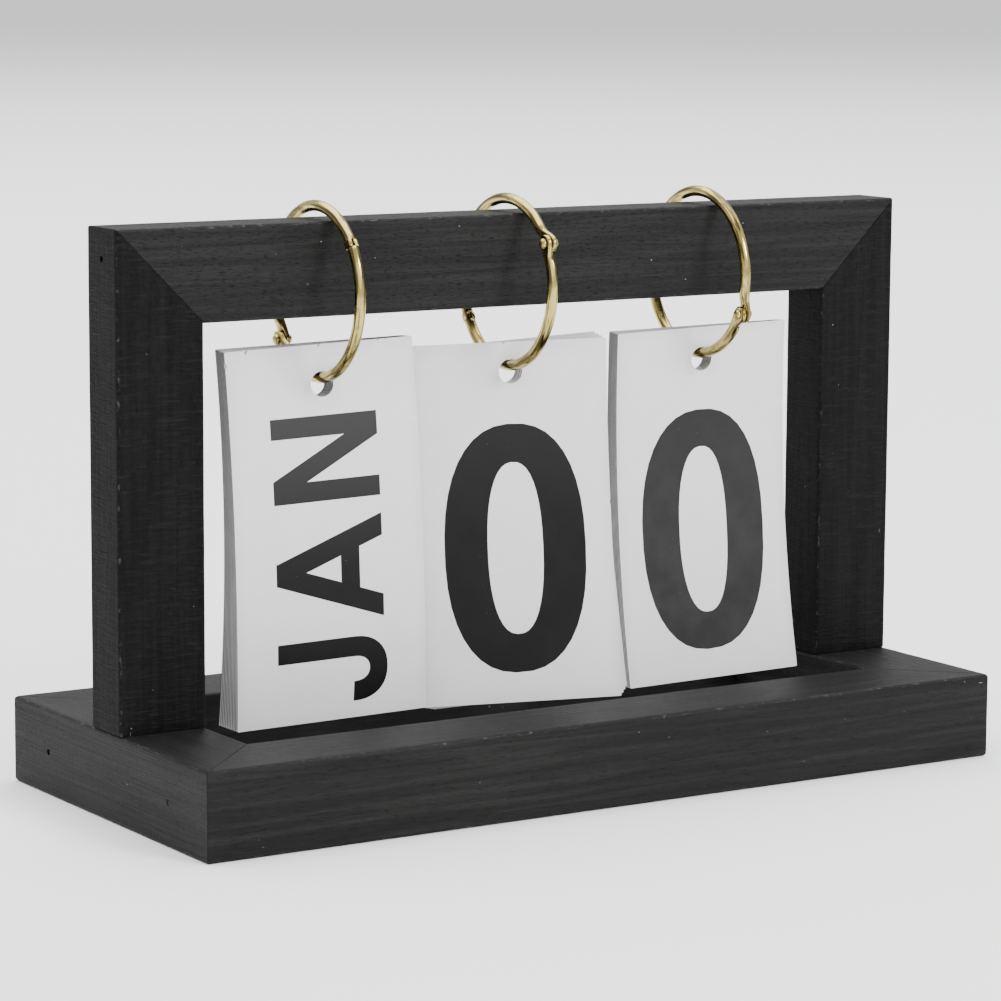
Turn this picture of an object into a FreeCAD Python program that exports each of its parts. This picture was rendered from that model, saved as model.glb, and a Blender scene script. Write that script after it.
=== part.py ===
# Flip desk calendar: a mitred wooden stand with three hinged binder rings on its
# top rail, each ring holding one stack of cards (month, tens digit, units digit).
# Frame: +Z up, +X to the right seen from the front, the front faces -Y, and the
# origin is the middle of the underside.

import FreeCAD, Part
import math
import os
import Sketcher

os.makedirs("parts", exist_ok=True)
doc = FreeCAD.newDocument("flip_desk_calendar")
Vector = FreeCAD.Vector
Rotation = FreeCAD.Rotation
Placement = FreeCAD.Placement
X_AXIS = Vector(1, 0, 0)
Y_AXIS = Vector(0, 1, 0)
Z_AXIS = Vector(0, 0, 1)

# ---------------------------------------------------------------- driving sizes
SIZES = [
    ("stand_width", 200.0, "overall width of the base"),
    ("stand_depth", 90.0, "overall depth of the base"),
    ("base_height", 19.0, "thickness of the base frame"),
    ("stand_height", 124.5, "underside of the base to the top of the top rail"),
    ("post_height", "=stand_height - base_height", "outer edge of a post"),
    ("strip_width", 20.2, "face width of every wooden strip"),
    ("upright_thickness", 13.5, "depth of the posts and the top rail"),
    ("eased_edge", 0.8, "radius of the sanded edges"),
    ("brad_diameter", 1.4, "brad nails in the mitres"),
    ("brad_recess", 0.6, "depth of each brad head below the surface"),
    ("base_brad_length", 30.0, "brads through the base mitres"),
    ("base_brad_offset", 28.0, "base brads, from the middle plane"),
    ("frame_brad_length", 22.0, "brads through the upper mitres"),
    ("frame_brad_drop", 6.5, "upper brads, below the top"),
    ("screw_diameter", 3.5, "screws from the base into the posts"),
    ("screw_head_diameter", 7.0, "countersunk head"),
    ("screw_head_height", 2.2, "countersunk head"),
    ("screw_length", 42.0, "whole screw"),
    ("screw_recess", 0.5, "depth of the head below the underside"),
    ("ring_radius", 18.3, "middle of the ring wire"),
    ("wire_diameter", 2.4, "ring wire"),
    ("ring_centre_height", 109.0, "ring centre above the underside"),
    ("rivet_orbit", 19.2, "ring centre to the rivet axis"),
    ("rivet_diameter", 1.2, "rivet shank"),
    ("rivet_head_diameter", 1.8, "domed rivet head"),
    ("lug_diameter", 3.7, "flattened eye round the rivet"),
    ("lug_half_thickness", 1.25, "ring plane to the outside of a flattened eye"),
    ("lap_gap", 0.06, "ring plane to the inside of a lapped end"),
    ("card_width", 45.0, "one card"),
    ("card_below_hole", 73.0, "hole centre to the bottom edge"),
    ("card_thickness", 0.26, "coated card"),
    ("card_hole_diameter", 5.4, "punched hole"),
    ("card_corner_radius", 0.3, "guillotined corners, barely rounded"),
    ("hole_drop", 19.55, "ring centre to the hole centres"),
    ("rivet_clearance", 0.04, "bore over shank, on the diameter"),
]
# Each stack hangs on its own ring. A pair of lengths or angles is the front card's
# value and the step to the next card behind it. along is the ring plane's X; above
# is from the hole centres to the top edges; top and bottom are the Y of a card's two
# ends; bow is how far its middle stands forward of them; turn and tilt are its
# angles about the vertical and about Y.
STACK_TERMS = ("along", "hinge", "gate_way", "cards", "above", "top", "top_step", "bottom",
               "bottom_step", "bow", "bow_step", "turn", "turn_step", "tilt", "tilt_step")
STACKS = {
    "month": (-49.2, -53.0, -1, 12, 8.5, -1.3, 0.36, -2.8,
              0.64, 1.85, 0.14, -2.0, 0.0, 1.7, -0.05),
    "tens": (-1.4, 120.0, 1, 4, 6.5, -1.2, 0.88, -8.6,
             1.1, -1.3, 0.125, -13.0, 1.2, -0.5, 1.0),
    "units": (49.7, 65.0, 1, 10, 7.3, -2.3, 0.38, -6.2,
              0.45, -2.75, 0.065, -2.0, 0.0, 1.4, -0.08),
}
for stack, values in STACKS.items():
    for term, value in zip(STACK_TERMS, values):
        SIZES.append((f"{stack}_{term}", value, "card stack"))
sheet = doc.addObject("Spreadsheet::Sheet", "size")
for row, (alias, value, meaning) in enumerate(SIZES, start=1):
    sheet.set(f"A{row}", alias)
    sheet.set(f"B{row}", str(value))
    sheet.set(f"C{row}", meaning)
    sheet.setAlias(f"B{row}", alias)
doc.recompute()
sub_parts = []


def size(alias):
    """Reads one driving size from the sheet."""
    return float(sheet.get(alias))


def keep(piece, name):
    """Marks an object as one sub-part of the calendar."""
    piece.Label = name
    sub_parts.append(piece)
    return piece


def origin_plane(body, role):
    """Finds one of a body's own origin planes, such as XY_Plane."""
    for feature in body.Origin.OriginFeatures:
        if feature.Role == role:
            return feature
    raise ValueError(role)


def new_sketch(body, name, role):
    """Starts a sketch flat on one of the body's origin planes."""
    sketch = body.newObject("Sketcher::SketchObject", name)
    sketch.AttachmentSupport = [(origin_plane(body, role), "")]
    sketch.MapMode = "FlatFace"
    return sketch


def bind(sketch, kind, elements, start_value, expression):
    """Adds a dimension to a sketch and ties it to an expression of the sheet."""
    index = sketch.addConstraint(Sketcher.Constraint(kind, *elements, start_value))
    sketch.setExpression(f"Constraints[{index}]", expression)


def close_outline(sketch, edges):
    """Joins consecutive edges of an outline end to start."""
    for index in range(edges):
        joined = Sketcher.Constraint("Coincident", index, 2, (index + 1) % edges, 1)
        sketch.addConstraint(joined)


def must_cut(body, volume_before, name):
    """Stops if the last subtractive feature removed nothing."""
    doc.recompute()
    if body.Shape.Volume >= volume_before:
        raise RuntimeError(name + " cuts nothing")


# ---------------------------------------------------------------- fasteners
half_width = size("stand_width") / 2
half_depth = size("stand_depth") / 2
base_height = size("base_height")
stand_height = size("stand_height")
strip_width = size("strip_width")
upright = size("upright_thickness")


def brad_spots(height, depths):
    """Where brads enter the two outer side faces, and the way they point."""
    spots = []
    for side in (-1, 1):
        for depth in depths:
            spots.append((Vector(side * half_width, depth, height), Vector(-side, 0, 0)))
    return spots


brad_offset = size("base_brad_offset")
base_brads = brad_spots(base_height / 2, (-brad_offset, brad_offset))
frame_brads = brad_spots(stand_height - size("frame_brad_drop"), (0.0,))
post_centre = half_width - strip_width / 2
screw_spots = [Vector(side * post_centre, 0, 0) for side in (-1, 1)]


def drill(body, name, point, direction, diameter, length):
    """Bores a round hole; point and direction are in the stand's frame."""
    volume_before = body.Shape.Volume
    back = body.Placement.inverse()
    bore = body.newObject("PartDesign::SubtractiveCylinder", name)
    bore.setExpression("Radius", f"({diameter}) / 2")
    bore.setExpression("Height", length)
    turned = back.Rotation.multVec(direction)
    bore.Placement = Placement(back.multVec(point), Rotation(Z_AXIS, turned))
    must_cut(body, volume_before, name)


def countersink(body, name, point):
    """Sinks a screw head into an underside at point."""
    volume_before = body.Shape.Volume
    back = body.Placement.inverse()
    sink = body.newObject("PartDesign::SubtractiveCone", name)
    sink.setExpression("Radius1", "size.screw_head_diameter / 2")
    sink.setExpression("Radius2", "size.screw_diameter / 2")
    sink.setExpression("Height", "size.screw_head_height")
    turned = back.Rotation.multVec(Z_AXIS)
    sink.Placement = Placement(back.multVec(point), Rotation(Z_AXIS, turned))
    must_cut(body, volume_before, name)


def brad_group(name, spots, length):
    """One node of identical brads, each with its head just under the surface."""
    rods = []
    recess = size("brad_recess")
    for number, (point, direction) in enumerate(spots, start=1):
        nail = doc.addObject("Part::Cylinder", f"{name}_{number}")
        nail.setExpression("Radius", "size.brad_diameter / 2")
        nail.setExpression("Height", f"{length} - size.brad_recess")
        nail.Placement = Placement(point + direction * recess, Rotation(Z_AXIS, direction))
        rods.append(nail)
    group = doc.addObject("Part::Compound", name)
    group.Links = rods
    keep(group, name)


def screw_group(name, spots):
    """One node of countersunk screws that point up."""
    screws = []
    for number, point in enumerate(spots, start=1):
        start = point + Z_AXIS * size("screw_recess")
        head = doc.addObject("Part::Cone", f"{name}_head_{number}")
        head.setExpression("Radius1", "size.screw_head_diameter / 2")
        head.setExpression("Radius2", "size.screw_diameter / 2")
        head.setExpression("Height", "size.screw_head_height")
        head.Placement = Placement(start, Rotation())
        shank = doc.addObject("Part::Cylinder", f"{name}_shank_{number}")
        shank.setExpression("Radius", "size.screw_diameter / 2")
        shank.setExpression("Height", "size.screw_length")
        shank.Placement = Placement(start, Rotation())
        screw = doc.addObject("Part::Fuse", f"{name}_{number}")
        screw.Base = head
        screw.Tool = shank
        screws.append(screw)
    group = doc.addObject("Part::Compound", name)
    group.Links = screws
    keep(group, name)


# ---------------------------------------------------------------- wooden strips
def mitred_strip(name, run, thickness, mitres, placement):
    """A strip whose outer edge is the local X axis and whose inner edge is at
    strip_width. run and thickness are names of driving sizes; mitres says which
    ends, 0 for the start and 1 for the far end, are cut at 45 degrees."""
    body = doc.addObject("PartDesign::Body", name)
    body.Placement = placement
    sketch = new_sketch(body, name + "_outline", "XY_Plane")
    length = size(run)
    start = strip_width if 0 in mitres else 0.0
    end = length - strip_width if 1 in mitres else length
    corners = [(0.0, 0.0), (length, 0.0), (end, strip_width), (start, strip_width)]
    for index, corner in enumerate(corners):
        following = corners[(index + 1) % 4]
        sketch.addGeometry(Part.LineSegment(Vector(*corner), Vector(*following)), False)
    close_outline(sketch, 4)
    sketch.addConstraint(Sketcher.Constraint("Coincident", 0, 1, -1, 1))
    sketch.addConstraint(Sketcher.Constraint("Horizontal", 0))
    sketch.addConstraint(Sketcher.Constraint("Horizontal", 2))
    bind(sketch, "DistanceX", (-1, 1, 0, 2), length, "size." + run)
    bind(sketch, "DistanceY", (-1, 1, 2, 1), strip_width, "size.strip_width")
    far_cut = " - size.strip_width" if 1 in mitres else ""
    bind(sketch, "DistanceX", (-1, 1, 2, 1), end, "size." + run + far_cut)
    if 0 in mitres:
        bind(sketch, "DistanceX", (-1, 1, 2, 2), start, "size.strip_width")
    else:
        sketch.addConstraint(Sketcher.Constraint("Vertical", 3))
    pad = body.newObject("PartDesign::Pad", name + "_strip")
    pad.Profile = sketch
    pad.setExpression("Length", "size." + thickness)
    doc.recompute()

    long_edges = []
    for index, edge in enumerate(pad.Shape.Edges, start=1):
        direction = edge.Vertexes[-1].Point - edge.Vertexes[0].Point
        if abs(direction.y) + abs(direction.z) < 1e-6:
            long_edges.append(f"Edge{index}")
    eased = body.newObject("PartDesign::Fillet", name + "_eased")
    eased.Base = (pad, long_edges)
    eased.setExpression("Radius", "size.eased_edge")
    doc.recompute()
    return keep(body, name)


DOWN = Vector(0, 0, -1)
LEFT = Vector(-1, 0, 0)
FORWARD = Vector(0, -1, 0)
upright_back = upright / 2
STRIPS = {
    "base_front_rail": ("stand_width", "base_height", (0, 1), Placement(
        Vector(-half_width, -half_depth, 0), Rotation())),
    "base_back_rail": ("stand_width", "base_height", (0, 1), Placement(
        Vector(half_width, half_depth, 0), Rotation(Z_AXIS, 180))),
    "base_left_rail": ("stand_depth", "base_height", (0, 1), Placement(
        Vector(-half_width, half_depth, 0), Rotation(Z_AXIS, -90))),
    "base_right_rail": ("stand_depth", "base_height", (0, 1), Placement(
        Vector(half_width, -half_depth, 0), Rotation(Z_AXIS, 90))),
    "left_post": ("post_height", "upright_thickness", (0,), Placement(
        Vector(-half_width, upright_back, stand_height), Rotation(DOWN, X_AXIS, FORWARD, "XYZ"))),
    "right_post": ("post_height", "upright_thickness", (1,), Placement(
        Vector(half_width, upright_back, base_height), Rotation(Z_AXIS, LEFT, FORWARD, "XYZ"))),
    "top_rail": ("stand_width", "upright_thickness", (0, 1), Placement(
        Vector(half_width, upright_back, stand_height), Rotation(LEFT, DOWN, FORWARD, "XYZ"))),
}
strips = {name: mitred_strip(name, *terms) for name, terms in STRIPS.items()}


def left_or_right(point, left, right):
    """Picks the strip on the side of the stand that a point is on."""
    return strips[left] if point.x < 0 else strips[right]


for number, (point, direction) in enumerate(base_brads, start=1):
    side_rail = left_or_right(point, "base_left_rail", "base_right_rail")
    end_rail = strips["base_front_rail"] if point.y < 0 else strips["base_back_rail"]
    for body in (side_rail, end_rail):
        drill(body, f"{body.Name}_brad_{number}", point, direction,
              "size.brad_diameter", "size.base_brad_length")
for number, (point, direction) in enumerate(frame_brads, start=1):
    for body in (left_or_right(point, "left_post", "right_post"), strips["top_rail"]):
        drill(body, f"{body.Name}_brad_{number}", point, direction,
              "size.brad_diameter", "size.frame_brad_length")
for point in screw_spots:
    rail = left_or_right(point, "base_left_rail", "base_right_rail")
    post = left_or_right(point, "left_post", "right_post")
    drill(rail, rail.Name + "_recess", point, Z_AXIS, "size.screw_head_diameter", "size.screw_recess")
    head_top = point + Z_AXIS * size("screw_recess")
    countersink(rail, rail.Name + "_countersink", head_top)
    for body in (rail, post):
        drill(body, body.Name + "_screw", head_top, Z_AXIS, "size.screw_diameter", "size.screw_length")

brad_group("base_corner_brads", base_brads, "size.base_brad_length")
brad_group("frame_corner_brads", frame_brads, "size.frame_brad_length")
screw_group("post_screws", screw_spots)

# ---------------------------------------------------------------- binder rings
# An angle on a ring is measured round its centre from straight down towards the
# front. The hinge eye and the clasp are opposite each other; the gate is the half
# that goes over the top rail, and the carrier is the half that holds the cards.
ring_radius = size("ring_radius")
wire = size("wire_diameter")
ring_height = size("ring_centre_height")
lug_half = size("lug_half_thickness")
lap_gap = size("lap_gap")
EYE_ANGLE = 8.5
CLASP_ANGLE = 5.0
END_GAP_ANGLE = 0.35


def ring_point(orbit, angle):
    """A point at an orbit radius and an angle, from the ring's centre."""
    turn = math.radians(angle)
    return Vector(0, -orbit * math.sin(turn), -orbit * math.cos(turn))


def wire_arc(name, start, sweep):
    """Round wire from the start angle over the sweep."""
    arc = doc.addObject("Part::Torus", name)
    arc.setExpression("Radius1", "size.ring_radius")
    arc.setExpression("Radius2", "size.wire_diameter / 2")
    arc.Angle3 = sweep
    # The torus runs counter-clockwise about its own Z from its own X.
    first = ring_point(1, start)
    quarter = ring_point(1, start + 90)
    arc.Placement = Placement(Vector(), Rotation(first, quarter, first.cross(quarter), "XYZ"))
    return arc


def half_slab(name, side, thickness, gap):
    """A slab on one side of the ring plane, from the gap outwards."""
    slab = doc.addObject("Part::Box", name)
    reach = 2 * (ring_radius + wire)
    slab.Length = thickness - gap
    slab.Width = reach
    slab.Height = reach
    corner_x = gap if side > 0 else -thickness
    slab.Placement = Placement(Vector(corner_x, -reach / 2, -reach / 2), Rotation())
    return slab


def lapped_arc(name, start, sweep, side):
    """Half of the wire's section, one side of the ring plane: a lapped end."""
    lap = doc.addObject("Part::Common", name)
    lap.Base = wire_arc(name + "_wire", start, sweep)
    lap.Tool = half_slab(name + "_side", side, wire, lap_gap)
    return lap


def eye(name, angle, side):
    """The flattened eye of one half round the rivet, one side of the ring plane."""
    plate = doc.addObject("Part::Cylinder", name)
    plate.setExpression("Radius", "size.lug_diameter / 2")
    plate.setExpression("Height", "size.lug_half_thickness - size.lap_gap")
    start_x = lap_gap if side > 0 else -lug_half
    place = ring_point(size("rivet_orbit"), angle) + Vector(start_x, 0, 0)
    plate.Placement = Placement(place, Rotation(Z_AXIS, X_AXIS))
    return plate


def fused(name, pieces):
    """Joins several overlapping solids."""
    joint = doc.addObject("Part::MultiFuse", name)
    joint.Shapes = pieces
    joint.Refine = True
    return joint


def rivet_bore(name, angle):
    """The bore for the rivet shank through both eyes."""
    bore = doc.addObject("Part::Cylinder", name)
    bore.setExpression("Radius", "(size.rivet_diameter + size.rivet_clearance) / 2")
    bore.Height = 4 * lug_half
    place = ring_point(size("rivet_orbit"), angle) - Vector(2 * lug_half, 0, 0)
    bore.Placement = Placement(place, Rotation(Z_AXIS, X_AXIS))
    return bore


def ring_half(name, place, hinge, way, side):
    """One half ring. It starts at the hinge angle and runs half a turn the given
    way; side is the side of the ring plane its eye and lapped end are on."""
    wire_start = hinge + way * EYE_ANGLE
    wire_sweep = 180 - EYE_ANGLE - CLASP_ANGLE / 2
    clasp_start = wire_start + way * wire_sweep
    clasp_sweep = CLASP_ANGLE - END_GAP_ANGLE
    arcs = {
        "_wire": (wire_start, wire_sweep, None),
        "_neck": (hinge, EYE_ANGLE, side),
        "_tongue": (clasp_start, clasp_sweep, -side),
    }
    pieces = []
    for suffix, (start, sweep, lap_side) in arcs.items():
        low = start if way > 0 else start - sweep
        if lap_side is None:
            pieces.append(wire_arc(name + suffix, low, sweep))
        else:
            pieces.append(lapped_arc(name + suffix, low, sweep, lap_side))
    pieces.append(eye(name + "_eye", hinge, side))
    half = doc.addObject("Part::Cut", name)
    half.Base = fused(name + "_solid", pieces)
    half.Tool = rivet_bore(name + "_bore", hinge)
    half.Placement = Placement(place, Rotation())
    return keep(half, name)


def rivet(name, place, hinge):
    """Shank and two domed heads."""
    shank = doc.addObject("Part::Cylinder", name + "_shank")
    shank.setExpression("Radius", "size.rivet_diameter / 2")
    shank.setExpression("Height", "2 * size.lug_half_thickness")
    centre = ring_point(size("rivet_orbit"), hinge)
    shank.Placement = Placement(centre - Vector(lug_half, 0, 0), Rotation(Z_AXIS, X_AXIS))
    pieces = [shank]
    for word, side in (("left", -1), ("right", 1)):
        dome = doc.addObject("Part::Sphere", f"{name}_head_{word}")
        dome.setExpression("Radius", "size.rivet_head_diameter / 2")
        dome.Angle1 = 0
        dome.Angle2 = 90
        seat = centre + Vector(side * lug_half, 0, 0)
        dome.Placement = Placement(seat, Rotation(Z_AXIS, Vector(side, 0, 0)))
        pieces.append(dome)
    pin = fused(name, pieces)
    pin.Placement = Placement(place, Rotation())
    return keep(pin, name)


# ---------------------------------------------------------------- cards
def card(name, placement, stack, bow, bow_expression):
    """One card in its own frame: its ends on Z, the hole at height 0, the width on
    X and the printed face to -Y. bow is how far its middle stands forward."""
    body = doc.addObject("PartDesign::Body", name)
    body.Placement = placement
    top = size(stack + "_above")
    bottom = -size("card_below_hole")
    thick = size("card_thickness")
    middle = (top + bottom) / 2
    sketch = new_sketch(body, name + "_profile", "YZ_Plane")
    sketch.addGeometry([
        Part.Arc(Vector(0, top), Vector(-bow, middle), Vector(0, bottom)),
        Part.LineSegment(Vector(0, bottom), Vector(thick, bottom)),
        Part.Arc(Vector(thick, top), Vector(thick - bow, middle), Vector(thick, bottom)),
        Part.LineSegment(Vector(thick, top), Vector(0, top)),
    ], False)
    # An arc is stored counter-clockwise, so its first point is the upper one only
    # where the card bows forward.
    upper, lower = (1, 2) if bow > 0 else (2, 1)
    for corner in ((0, lower, 1, 1), (1, 2, 2, lower), (2, upper, 3, 1), (3, 2, 0, upper)):
        sketch.addConstraint(Sketcher.Constraint("Coincident", *corner))
    sketch.addConstraint(Sketcher.Constraint("Horizontal", 1))
    sketch.addConstraint(Sketcher.Constraint("Horizontal", 3))
    sketch.addConstraint(Sketcher.Constraint("PointOnObject", 0, upper, -2))
    sketch.addConstraint(Sketcher.Constraint("PointOnObject", 0, lower, -2))
    sketch.addConstraint(Sketcher.Constraint("Equal", 0, 2))
    bind(sketch, "DistanceY", (-1, 1, 0, upper), top, f"size.{stack}_above")
    bind(sketch, "DistanceY", (0, lower, -1, 1), -bottom, "size.card_below_hole")
    bind(sketch, "DistanceX", (1, 1, 1, 2), thick, "size.card_thickness")
    half_height = f"((size.{stack}_above + size.card_below_hole) / 2)"
    radius = f"({half_height}^2 + ({bow_expression})^2) / (2 * abs({bow_expression}))"
    start_radius = (middle - bottom) ** 2 / (2 * abs(bow)) + abs(bow) / 2
    bind(sketch, "Radius", (0,), start_radius, radius)
    pad = body.newObject("PartDesign::Pad", name + "_sheet")
    pad.Profile = sketch
    pad.setExpression("Length", "size.card_width")
    pad.Midplane = True
    doc.recompute()

    volume_before = body.Shape.Volume
    hole_radius = size("card_hole_diameter") / 2
    punch = new_sketch(body, name + "_punch", "XZ_Plane")
    punch.addGeometry(Part.Circle(Vector(), Z_AXIS, hole_radius), False)
    punch.addConstraint(Sketcher.Constraint("Coincident", 0, 3, -1, 1))
    bind(punch, "Diameter", (0,), 2 * hole_radius, "size.card_hole_diameter")
    hole = body.newObject("PartDesign::Pocket", name + "_hole")
    hole.Profile = punch
    hole.Type = "ThroughAll"
    hole.Midplane = True
    must_cut(body, volume_before, hole.Name)

    corner_edges = []
    for index, edge in enumerate(hole.Shape.Edges, start=1):
        start = edge.Vertexes[0].Point
        along = edge.Vertexes[-1].Point - start
        if abs(along.x) + abs(along.z) < 1e-6 and abs(start.x) > 2 * hole_radius:
            corner_edges.append(f"Edge{index}")
    corners = body.newObject("PartDesign::Fillet", name + "_corners")
    corners.Base = (hole, corner_edges)
    corners.setExpression("Radius", "size.card_corner_radius")
    doc.recompute()
    return keep(body, name)


def stepped(stack, word, number):
    """A term of the STACKS table for the card that is number places behind the front."""
    return size(f"{stack}_{word}") + number * size(f"{stack}_{word}_step")


def card_stack(stack):
    """All cards of one stack; card 01 is the front one."""
    height = size(stack + "_above") + size("card_below_hole")
    hole_height = ring_height - size("hole_drop")
    for number in range(int(size(stack + "_cards"))):
        top_y = stepped(stack, "top", number)
        lean = (stepped(stack, "bottom", number) - top_y) / height
        hole_y = top_y + lean * size(stack + "_above")
        rotation = Rotation(X_AXIS, math.degrees(math.asin(lean)))
        rotation = rotation * Rotation(Z_AXIS, stepped(stack, "turn", number))
        rotation = rotation * Rotation(Y_AXIS, -stepped(stack, "tilt", number))
        placement = Placement(Vector(size(stack + "_along"), hole_y, hole_height), rotation)
        bow = stepped(stack, "bow", number)
        bow_expression = f"size.{stack}_bow + {number} * size.{stack}_bow_step"
        card(f"{stack}_card_{number + 1:02d}", placement, stack, bow, bow_expression)


for stack in STACKS:
    place = Vector(size(stack + "_along"), 0, ring_height)
    hinge = size(stack + "_hinge")
    gate_way = int(size(stack + "_gate_way"))
    ring_half(stack + "_ring_carrier", place, hinge, -gate_way, -1)
    ring_half(stack + "_ring_gate", place, hinge, gate_way, 1)
    rivet(stack + "_ring_rivet", place, hinge)
    card_stack(stack)

# ---------------------------------------------------------------- checks and export
doc.recompute()
for item in doc.Objects:
    if "Invalid" in item.State or "Error" in item.State:
        raise RuntimeError(f"{item.Name} failed to build: {item.State}")
for piece in sub_parts:
    if piece.Shape.isNull() or not piece.Shape.isValid():
        raise RuntimeError(f"{piece.Label} has no valid shape")
for piece in sub_parts:
    piece.Shape.exportStep(f"parts/{piece.Label}.step")
    box = piece.Shape.BoundBox
    print(f"{piece.Label:22s} solids {len(piece.Shape.Solids)}  volume {piece.Shape.Volume:9.1f}"
          f"  y {box.YMin:6.2f} {box.YMax:6.2f}  z {box.ZMin:7.2f} {box.ZMax:7.2f}")
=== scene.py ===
"""The looks of the flip desk calendar.

Mitred strips of painted wood, three brass binder rings and three stacks of printed
cards take the place of the CAD pieces, on the same bodies. The brads and the screws
keep their CAD shape. Card and ring sizes are the CAD model's, in millimetres, and the
strips read theirs from the frame, in metres. A studio and a camera close the file.
"""

import math

import bmesh
import bpy
from mathutils import Matrix, Vector, geometry, noise


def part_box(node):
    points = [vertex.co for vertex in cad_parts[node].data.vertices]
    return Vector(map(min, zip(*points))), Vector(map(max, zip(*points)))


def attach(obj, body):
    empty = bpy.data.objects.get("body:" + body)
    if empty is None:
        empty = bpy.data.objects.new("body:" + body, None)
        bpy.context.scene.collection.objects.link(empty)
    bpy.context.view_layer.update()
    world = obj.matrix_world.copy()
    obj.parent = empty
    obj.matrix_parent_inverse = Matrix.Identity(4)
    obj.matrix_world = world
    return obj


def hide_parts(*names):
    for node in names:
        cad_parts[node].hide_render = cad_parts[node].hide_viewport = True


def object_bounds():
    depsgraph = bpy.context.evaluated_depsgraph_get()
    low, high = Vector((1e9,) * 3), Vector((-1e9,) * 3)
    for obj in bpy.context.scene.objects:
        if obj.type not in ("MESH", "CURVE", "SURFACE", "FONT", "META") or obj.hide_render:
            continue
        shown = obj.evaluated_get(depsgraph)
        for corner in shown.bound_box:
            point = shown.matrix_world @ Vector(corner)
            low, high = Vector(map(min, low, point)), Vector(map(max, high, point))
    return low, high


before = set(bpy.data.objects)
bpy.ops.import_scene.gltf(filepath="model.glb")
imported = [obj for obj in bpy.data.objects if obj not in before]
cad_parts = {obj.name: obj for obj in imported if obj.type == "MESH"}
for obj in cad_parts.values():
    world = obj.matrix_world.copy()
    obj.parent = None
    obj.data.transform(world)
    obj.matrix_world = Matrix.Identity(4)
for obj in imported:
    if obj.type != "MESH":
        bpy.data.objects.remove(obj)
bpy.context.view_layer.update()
MM = 0.001
SHARP = 40.0  # degrees between faces, past which an edge of the wood shows
THIN_SHARP = 50.0  # the same for cards and rings
COLLECTION = bpy.context.scene.collection


# ------------------------------------------------------------------ node materials
def shade(colour, factor):
    """A colour made darker or paler."""
    return tuple(channel * factor for channel in colour)


def grey(level):
    return (level, level, level)


class Paint:
    """A node material under construction. Each method adds one node and returns its
    output socket, so a pattern reads as nested calls."""

    def __init__(self, name):
        self.material = bpy.data.materials.new(name)
        self.material.use_nodes = True
        self.tree = self.material.node_tree
        self.shader = self.tree.nodes["Principled BSDF"]

    def add(self, kind, **settings):
        node = self.tree.nodes.new(kind)
        for key, value in settings.items():
            setattr(node, key, value)
        return node

    def put(self, socket, value):
        """Links an output socket, or sets a plain value. A tuple is a colour."""
        if isinstance(value, bpy.types.NodeSocket):
            self.tree.links.new(value, socket)
        else:
            socket.default_value = (*value, 1.0) if isinstance(value, tuple) else value

    def attribute(self, name, vector=False):
        """A value that the mesh stores at its vertices."""
        node = self.add("ShaderNodeAttribute", attribute_name=name)
        return node.outputs["Vector" if vector else "Fac"]

    def place(self):
        """Position on the piece, which moves with it."""
        return self.add("ShaderNodeTexCoord").outputs["Object"]

    def axis(self, vector, index):
        """One coordinate of a vector."""
        node = self.add("ShaderNodeSeparateXYZ")
        self.put(node.inputs[0], vector)
        return node.outputs[index]

    def scaled(self, vector, scale, shift=(0, 0, 0)):
        """Stretches a pattern along its axes and moves it."""
        node = self.add("ShaderNodeMapping")
        self.put(node.inputs["Vector"], vector)
        node.inputs["Scale"].default_value = scale
        node.inputs["Location"].default_value = shift
        return node.outputs["Vector"]

    def noise(self, vector, scale, detail=4.0, roughness=0.55, distortion=0.0):
        node = self.add("ShaderNodeTexNoise")
        self.put(node.inputs["Vector"], vector)
        node.inputs["Scale"].default_value = scale
        node.inputs["Detail"].default_value = detail
        node.inputs["Roughness"].default_value = roughness
        node.inputs["Distortion"].default_value = distortion
        return node.outputs["Fac"]

    def specks(self, vector, scale, size):
        """Small round dots, one in each cell of a random pattern."""
        node = self.add("ShaderNodeTexVoronoi", feature="F1")
        self.put(node.inputs["Vector"], vector)
        node.inputs["Scale"].default_value = scale
        return self.ramp(node.outputs["Distance"], size * 0.6, size, 1.0, 0.0)

    def ramp(self, value, low, high, at_low=0.0, at_high=1.0):
        """Smooth step of a value between two thresholds."""
        node = self.add("ShaderNodeMapRange", interpolation_type="SMOOTHSTEP")
        self.put(node.inputs["Value"], value)
        for name, number in (("From Min", low), ("From Max", high),
                             ("To Min", at_low), ("To Max", at_high)):
            node.inputs[name].default_value = number
        return node.outputs["Result"]

    def math(self, operation, first, second=0.0):
        node = self.add("ShaderNodeMath", operation=operation)
        self.put(node.inputs[0], first)
        self.put(node.inputs[1], second)
        return node.outputs["Value"]

    def mix(self, amount, first, second):
        """Mixes two colours."""
        node = self.add("ShaderNodeMix", data_type="RGBA")
        self.put(node.inputs["Factor"], amount)
        colours = [socket for socket in node.inputs if socket.type == "RGBA"]
        for socket, value in zip(colours, (first, second)):
            self.put(socket, value)
        return [socket for socket in node.outputs if socket.type == "RGBA"][0]

    def bump(self, height, strength, distance):
        node = self.add("ShaderNodeBump")
        node.inputs["Strength"].default_value = strength
        node.inputs["Distance"].default_value = distance
        self.put(node.inputs["Height"], height)
        return node.outputs["Normal"]

    def finish(self, colour, roughness, normal=None, **sockets):
        """Wires up the shader. Each further keyword is one of its sockets, with
        underscores for spaces."""
        self.put(self.shader.inputs["Base Color"], colour)
        self.put(self.shader.inputs["Roughness"], roughness)
        if normal is not None:
            self.put(self.shader.inputs["Normal"], normal)
        for name, value in sockets.items():
            self.shader.inputs[name.replace("_", " ")].default_value = value
        return self.material


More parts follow.
